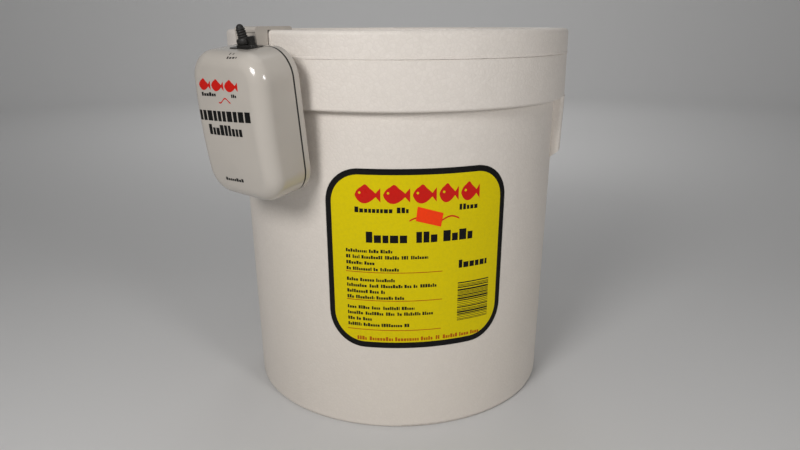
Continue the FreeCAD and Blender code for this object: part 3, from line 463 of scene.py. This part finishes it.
def ruled_lines():
    """The thin rules that part the paragraphs."""
    lines = []
    for up, right in RULES:
        spots = sampled(TEXT_LEFT - 0.5, right, 3)
        lines.append([(spot, up - RULE_HALF, up + RULE_HALF) for spot in spots])
    return lines


def stripe_block(rng):
    """A block of plain stripes of uneven weight."""
    stripes = []
    up = 90.0
    while up < 121.4:
        weight = rng.choice((0.45, 0.45, 0.9, 1.35))
        stripes.append([(spot, up, up + weight) for spot in sampled(45.5, 72.5, 3)])
        up += weight + rng.choice((0.5, 0.5, 0.95))
    return stripes


def wave_columns():
    """A ripple of water under the fish."""
    columns = []
    for spot in sampled(8.0, 45.0, 0.8):
        middle = 172.0 + 2.2 * math.sin((spot - 8.0) / 37.0 * 3 * math.pi)
        columns.append((spot, middle - 0.6, middle + 0.6))
    return columns


def height_between(x, first, second):
    """The height at x on the straight line from the first corner to the second."""
    return first[1] + (second[1] - first[1]) * (x - first[0]) / (second[0] - first[0])


def sticker_columns():
    """A small tilted price sticker, blank."""
    left, upper, right, lower = (12.6, 171.9), (13.9, 182.6), (32.7, 176.9), (31.0, 166.7)

    def top(x):
        return height_between(x, left, upper) if x < upper[0] else height_between(x, upper, right)

    def bottom(x):
        return height_between(x, left, lower) if x < lower[0] else height_between(x, lower, right)

    spots = [left[0], upper[0], *sampled(upper[0] + 1.5, lower[0] - 1.5, 2), lower[0], right[0]]
    return [(x, min(bottom(x), top(x) - 0.02), top(x)) for x in spots]


def build_label():
    rng = random.Random(11)
    outer = rounded_columns(
        LABEL_LEFT, LABEL_RIGHT, LABEL_LOW, LABEL_HIGH, LABEL_CORNER, LABEL_LOW_CORNER)
    paper = wall_sheet("label_paper", [outer], PAPER, BLACK_INK)
    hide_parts("label")
    inner = rounded_columns(
        LABEL_LEFT + BORDER, LABEL_RIGHT - BORDER, LABEL_LOW + BORDER + 0.3, LABEL_HIGH - BORDER,
        LABEL_CORNER - BORDER, LABEL_LOW_CORNER - BORDER)
    wall_sheet("label_field", [inner], FIELD_INK, YELLOW_INK)
    wall_sheet("label_words", label_words(rng), INK, BLACK_INK)
    wall_sheet("label_stripes", stripe_block(rng), INK, BLACK_INK)
    fish = [fish_columns(left, right, FISH_UP, FISH_TALL) for left, right in FISH_SPOTS]
    wall_sheet("label_emblem", fish + [wave_columns()], INK, RED_INK)
    eyes = [disc_columns(left + 3.4, 192.6, EYE_R) for left, _ in FISH_SPOTS]
    wall_sheet("label_eyes", eyes, EYE_INK, YELLOW_INK)
    foot = text_line(-32.0, 65.7, 76.6, 79.8, rng, 1.5, 0.5)
    wall_sheet("label_foot", foot + ruled_lines(), INK, RUST_INK)
    wall_sheet("price_sticker", [sticker_columns()], STICKER_PAPER, FLUORESCENT)


# ---- pump ------------------------------------------------------------------------------------------
def pump_frame():
    """The pump's own axes and origin, from the joints that ride in it."""
    out = Vector(joints["cover_pull"]["axis"]).normalized()
    up = Vector(joints["rod_stroke"]["axis"]).normalized()
    right = up.cross(out)
    switch = Vector(joints["toggle_tilt"]["pos_m"])
    origin = switch - (right * SWITCH_X + out * SWITCH_DEPTH + up * PIVOT_UP) * MM
    return right, out, up, origin


RIGHT, OUT, UP, PUMP_ORIGIN = pump_frame()


def on_pump(x, depth, up):
    return PUMP_ORIGIN + (RIGHT * x + OUT * depth + UP * up) * MM


def shell_surface():
    """Where a print at (x, up) lies on the case's front."""
    mesh = nodes["front_shell"].data
    tree = BVHTree.FromPolygons([v.co for v in mesh.vertices], [p.vertices for p in mesh.polygons])

    def place(x, up, skin):
        start = on_pump(x, 80.0, up)
        point, normal, _, _ = tree.ray_cast(start, -OUT)
        return point + normal.normalized() * skin * MM

    return place


PUMP_WORDS = (
    # left, right, low, high, letter, gap, share of the height that a short block reaches
    (-22.6, -6.7, 22.8, 25.4, 2.0, 0.6, 0.7),
    (9.6, 14.4, 22.2, 24.4, 1.4, 0.5, 0.7),
    (-28.8, 25.5, 6.0, 13.0, 4.4, 1.3, 1.0),
    (-20.0, 17.0, -3.8, 3.4, 3.2, 1.0, 0.7),
    (-13.0, 7.5, -37.2, -34.8, 1.9, 0.6, 0.7),
    (6.0, 12.5, 48.8, 49.8, 0.9, 2.6, 0.7),
    (6.0, 15.0, 46.7, 47.9, 1.5, 1.1, 0.7),
)
PUMP_INK = (-0.05, 0.09)
PUMP_FISH_UP = 29.6
PUMP_FISH_TALL = 7.0
PUMP_FISH = ((-24.5, -11.6), (-10.4, 2.5), (3.7, 16.6))
FISH_SLANT = 0.03
PRINT_SLANT = 0.06


def ripple_columns():
    """A short ripple of water under the pump's fish."""
    columns = []
    for x in sampled(-4, 8, 0.6):
        wave = 1.5 * math.sin(x * 0.55)
        columns.append((x, 19.6 + wave, 20.5 + wave))
    return columns


def build_pump_prints():
    """The case's red and black prints, which run very slightly uphill."""
    rng = random.Random(5)
    onto_shell = shell_surface()

    def place(x, up, skin):
        return onto_shell(x, up + PRINT_SLANT * x, skin)

    def place_fish(x, up, skin):
        return onto_shell(x, up + FISH_SLANT * x, skin)

    black = bmesh.new()
    for left, right, low, high, letter, gap, short in PUMP_WORDS:
        for columns in word_blocks(left, right, low, high, rng, letter, gap, short):
            add_sheet(black, columns, place, PUMP_INK)
    make_piece("pump_words", black, [BLACK_INK], "cover", 60)
    red = bmesh.new()
    for left, right in PUMP_FISH:
        fish = fish_columns(left, right, PUMP_FISH_UP, PUMP_FISH_TALL)
        add_sheet(red, fish, place_fish, PUMP_INK)
    add_sheet(red, ripple_columns(), place, PUMP_INK)
    make_piece("pump_emblem", red, [RED_INK], "cover", 60)


BOOT_FOOT_R = 4.9
BOOT_FOOT_TOP = 4.0
BOOT_TIP = 66.0
BOOT_TIP_R = 2.5
BOOT_LEAN = math.radians(15.0)
BOOT_SHIFT = 0.7
BOOT_RIBS = 4
BOOT_RIB_R = 3.15
BOOT_RIB_TAPER = 0.25
BOOT_GROOVE = 0.5
BOOT_RIB_PROUD = 0.65


def boot_outline():
    """The boot's radius at each height: a broad foot, four ribs and a blunt tip."""
    foot_top = PANEL_TOP + BOOT_FOOT_TOP
    outline = [(0.0, PANEL_TOP), (BOOT_FOOT_R - 0.5, PANEL_TOP), (BOOT_FOOT_R, PANEL_TOP + 0.5)]
    outline += [(BOOT_FOOT_R, foot_top - 1.1), (BOOT_FOOT_R - 0.3, foot_top - 0.5)]
    outline += [(BOOT_FOOT_R - 0.9, foot_top)]
    ribs_top = BOOT_TIP - 2.6
    for k in range(1, 65):
        t = k / 64
        envelope = BOOT_RIB_R - BOOT_RIB_TAPER * t
        wave = abs(math.sin(math.pi * (t * BOOT_RIBS + 0.02)))
        radius = envelope - BOOT_GROOVE + BOOT_RIB_PROUD * wave ** 0.6
        outline.append((radius, foot_top + (ribs_top - foot_top) * t))
    for k in range(1, 9):
        turn = math.radians(90 * k / 8)
        radius = BOOT_TIP_R * math.cos(turn) if k < 8 else 0.0
        outline.append((radius, ribs_top + BOOT_TIP_R * math.sin(turn)))
    return [(r, h, 0) for r, h in outline]


def build_boot():
    """The boot leans with the lever, and stands a little to the right of the lever's axis."""
    def place(radius, turn, height):
        rise = height - PIVOT_UP
        bend = min(1.0, max(0.0, (height - PANEL_TOP) / 4.0))
        bend = bend * bend * (3 - 2 * bend)
        x = SWITCH_X + (BOOT_SHIFT - rise * math.tan(BOOT_LEAN)) * bend
        lift = radius * math.cos(turn) * math.sin(BOOT_LEAN) * bend
        depth = SWITCH_DEPTH + radius * math.sin(turn)
        return on_pump(x + radius * math.cos(turn), depth, height + lift)

    bm = bmesh.new()
    lathe(bm, boot_outline(), place, 48)
    boot = make_piece("ribbed_boot", bm, [BLACK_RUBBER], None, 50)
    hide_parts("toggle_boot")
    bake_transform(boot)


def build_cell():
    """A plain round cell: steel ends, a blue jacket with two silver bands, and its button."""
    steel, blue, silver, black = range(4)
    top = CELL_LOW + CELL_LENGTH
    outline = [
        (0.0, CELL_LOW, steel), (12.5, CELL_LOW, steel), (13.0, CELL_LOW + 0.5, steel),
        (15.3, CELL_LOW + 0.5, steel), (CELL_R - 0.4, CELL_LOW + 0.2, blue),
        (CELL_R, CELL_LOW + 0.7, blue), (CELL_R, CELL_LOW + 14, silver),
        (CELL_R, CELL_LOW + 17, blue), (CELL_R, top - 12, silver), (CELL_R, top - 9, blue),
        (CELL_R, top - 0.7, blue), (CELL_R - 0.4, top - 0.2, blue), (15.3, top - 0.4, black),
        (13.8, top - 0.5, steel), (11.5, top - 0.2, steel), (5.6, top - 0.2, steel),
        (4.9, top, steel), (4.75, top + 1.2, steel), (4.4, top + 1.5, steel), (0.0, top + 1.5, steel),
    ]

    def place(radius, turn, height):
        return on_pump(CELL_X + radius * math.cos(turn), CELL_DEPTH + radius * math.sin(turn), height)

    bm = bmesh.new()
    lathe(bm, outline, place, 72)
    finishes = [PLATED, CELL_BLUE, CELL_SILVER, BLACK_PLASTIC]
    cell = make_piece("cell_and_jacket", bm, finishes, "pump", 30)
    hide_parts("battery_cell")


# ---- bail grip and air stone ---------------------------------------------------------------------
GRIP_HALF = 52.0
GRIP_R = 10.0
GRIP_WAIST = 1.4
GRIP_BORE = 1.56
GRIP_RIBS = 5


def build_grip():
    """A moulded grip with soft finger hollows, open round the wire at both ends."""
    centre = (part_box("bail_grip")[0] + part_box("bail_grip")[1]) / 2
    outline = [(GRIP_BORE, -GRIP_HALF), (GRIP_R - 3.0, -GRIP_HALF), (GRIP_R - 1.6, -GRIP_HALF + 0.3)]
    outline += [(GRIP_R - 0.5, -GRIP_HALF + 1.2)]
    inner = GRIP_HALF - 2.0
    for k in range(121):
        t = k / 120
        hollow = max(0.0, math.sin(math.pi * ((t * GRIP_RIBS) % 1.0)))
        outline.append((GRIP_R - GRIP_WAIST * hollow ** 1.4, -inner + 2 * inner * t))
    outline += [(GRIP_R - 0.5, GRIP_HALF - 1.2), (GRIP_R - 1.6, GRIP_HALF - 0.3)]
    outline += [(GRIP_R - 3.0, GRIP_HALF), (GRIP_BORE, GRIP_HALF), (GRIP_BORE, -GRIP_HALF)]

    def place(radius, turn, height):
        seam = 1.0 + 0.012 * max(0.0, 1 - abs(math.sin(turn)) * 18) if radius > 5 else 1.0
        reach = min(radius * seam, GRIP_R)
        return centre + Vector((height, reach * math.cos(turn), reach * math.sin(turn))) * MM

    bm = bmesh.new()
    lathe(bm, [(r, h, 0) for r, h in outline], place, 96)
    finish = moulded("grip_white", (0.70, 0.68, 0.63), 0.36)
    grip = make_piece("moulded_grip", bm, [finish], "grip", 40)
    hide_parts("bail_grip")


STONE_GRAIN = 0.5
STONE_ROUND = 1.6
STONE_RING = 0.55


def build_stone():
    """A sintered cylinder, pitted all over."""
    low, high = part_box("air_stone_body")
    centre = (low + high) / 2 / MM
    half = (high.x - low.x) / 2 / MM
    radius = (high.z - low.z) / 2 / MM
    outline = [(0.0, -half)]
    rings = int((radius - STONE_ROUND) / STONE_RING)
    outline += [(k * STONE_RING, -half) for k in range(1, rings + 1)]
    for k in range(6):
        turn = math.radians(18 * k)
        inset = STONE_ROUND * (1 - math.sin(turn))
        outline.append((radius - inset, -half + STONE_ROUND * (1 - math.cos(turn))))
    sides = sampled(-half + STONE_ROUND, half - STONE_ROUND, 0.4)[1:-1]
    mirrored = [(r, -h) for r, h in reversed(outline)]
    outline = outline + [(radius, h) for h in sides] + mirrored

    def place(reach, turn, height):
        point = Vector((height, reach * math.cos(turn), reach * math.sin(turn)))
        grain = noise.voronoi(point * 0.8)[0][0] + 0.5 * noise.noise(point * 2.1)
        pit = STONE_GRAIN * min(1.0, max(0.0, grain))
        shrink = 1 - pit / radius
        return (centre + Vector((height * shrink, *(point.yz * shrink)))) * MM

    bm = bmesh.new()
    lathe(bm, [(r, h, 0) for r, h in outline], place, 120)
    body = make_piece("stone_grains", bm, [stone()], "air_stone", 180)
    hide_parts("air_stone_body")


# ---- stage, lights and camera ----------------------------------------------------------------------
def build_stage():
    """A round pale studio floor that curves up into its wall, with no edge in any view."""
    f = Finish("studio_paper", (0.70, 0.70, 0.70), 0.7, Specular_IOR_Level=0.2)
    paper = f.end(None, None, f.bump(f.noise(60, 2), 0.0001))
    outline = [(0.0, 0.0), (900.0, 0.0), (2400.0, 0.0)]
    for k in range(1, 13):
        turn = math.radians(90 * k / 12)
        outline.append((2400 + 900 * math.sin(turn), 900 - 900 * math.cos(turn)))
    outline.append((3300.0, 3000.0))
    bm = bmesh.new()
    lathe(bm, [(r, h, 0) for r, h in outline],
          lambda r, t, h: Vector((r * math.cos(t), r * math.sin(t), h)) * MM, 96)
    mesh = bpy.data.meshes.new("studio_floor")
    bmesh.ops.recalc_face_normals(bm, faces=bm.faces)
    bm.to_mesh(mesh)
    bm.free()
    mesh.shade_smooth()
    mesh.materials.append(paper)
    floor = bpy.data.objects.new("studio_floor", mesh)
    bpy.context.scene.collection.objects.link(floor)


def add_lamp(name, place, aim, size, watts, colour):
    data = bpy.data.lights.new(name, "AREA")
    data.shape = "DISK"
    data.size = size
    data.energy = watts
    data.color = colour
    lamp = bpy.data.objects.new(name, data)
    lamp.location = place
    lamp.rotation_euler = (Vector(aim) - Vector(place)).to_track_quat("-Z", "Y").to_euler()
    bpy.context.scene.collection.objects.link(lamp)


WARM = (1.0, 0.98, 0.96)
SOFT = (1.0, 0.99, 0.98)
LAMPS = (
    # name, place, aim, size, watts, colour
    ("key", (-0.40, -0.82, 0.66), (0, 0, 0.22), 0.34, 4.55, WARM),
    ("second", (0.64, -0.90, 0.54), (0, 0, 0.22), 0.25, 2.6, WARM),
    ("overhead", (0.0, 0.1, 1.6), (0, 0, 0.2), 1.2, 2.0, SOFT),
    ("rear", (0.1, 1.05, 0.75), (0, 0, 0.15), 0.5, 1.3, SOFT),
    ("backdrop", (0.0, 1.3, 1.5), (0, 2.7, 0.5), 1.2, 14, SOFT),
)


def light_scene():
    """Soft lamps round the object, one on the wall behind it, and a faint even sky."""
    for lamp in LAMPS:
        add_lamp(*lamp)
    world = bpy.data.worlds.new("studio")
    world.use_nodes = True
    background = world.node_tree.nodes["Background"]
    background.inputs["Color"].default_value = (0.86, 0.87, 0.88, 1)
    background.inputs["Strength"].default_value = 0.15
    bpy.context.scene.world = world
    bpy.context.scene.view_settings.view_transform = "Standard"


CAMERA_PLACE = (0.00069, -0.5983, 0.3082)
CAMERA_LENS = 30.47
CAMERA_DOWN = 16.62
CAMERA_AZIMUTH = -0.07
CAMERA_ROLL = -0.20


def add_camera():
    data = bpy.data.cameras.new("camera")
    data.sensor_width = 36.0
    data.lens = CAMERA_LENS
    camera = bpy.data.objects.new("camera", data)
    heading = Euler((math.radians(90 - CAMERA_DOWN), 0, math.radians(CAMERA_AZIMUTH))).to_matrix()
    roll = Matrix.Rotation(math.radians(CAMERA_ROLL), 3, "Z")
    camera.matrix_world = Matrix.Translation(CAMERA_PLACE) @ (heading @ roll).to_4x4()
    bpy.context.scene.collection.objects.link(camera)
    bpy.context.scene.camera = camera


dress_cad_nodes()
build_label()
build_pump_prints()
build_boot()
build_cell()
build_grip()
build_stone()
build_stage()
light_scene()
add_camera()
